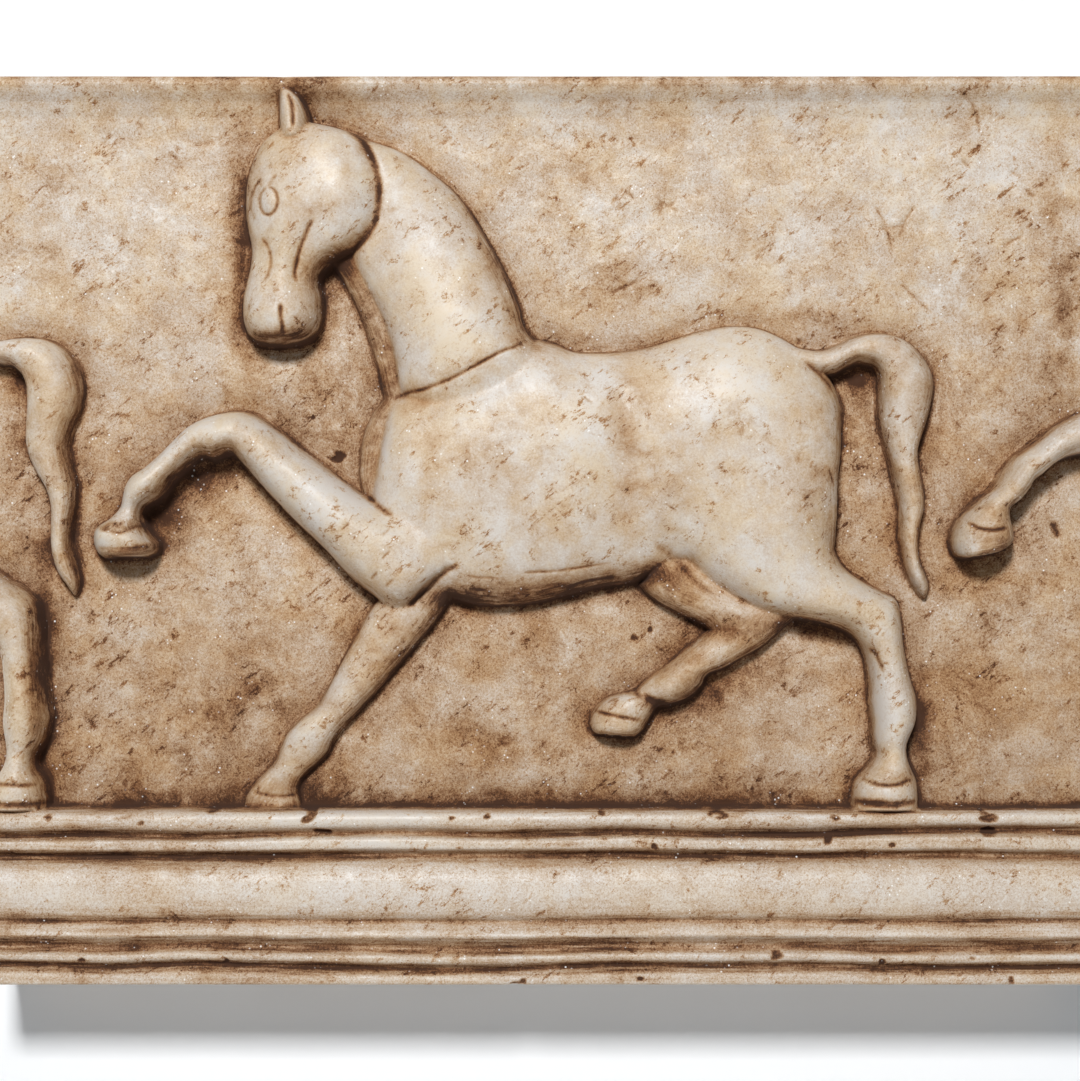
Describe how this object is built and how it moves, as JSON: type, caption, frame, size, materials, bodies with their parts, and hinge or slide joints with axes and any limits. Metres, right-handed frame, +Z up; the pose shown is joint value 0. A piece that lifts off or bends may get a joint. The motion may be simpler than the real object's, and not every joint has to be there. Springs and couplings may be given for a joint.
{
  "type": "marble relief plaque",
  "caption": "Carved marble frieze panel for a wall: a prancing horse in high relief on a plain ground, with a rolled top edge and a run of mouldings along the foot.",
  "frame": {"origin": "middle of the flat back face, which goes against the wall", "axes": "+X to the right as seen from the front, +Y into the wall, +Z up; the carving faces -Y"},
  "size_m": [0.362, 0.0456, 0.298],
  "materials": {
    "marble": "waxed ivory marble with brown staining in the hollows and fine brown specks"
  },
  "bodies": {
    "root": {"relief_plaque": "marble"}
  },
  "joints": []
}
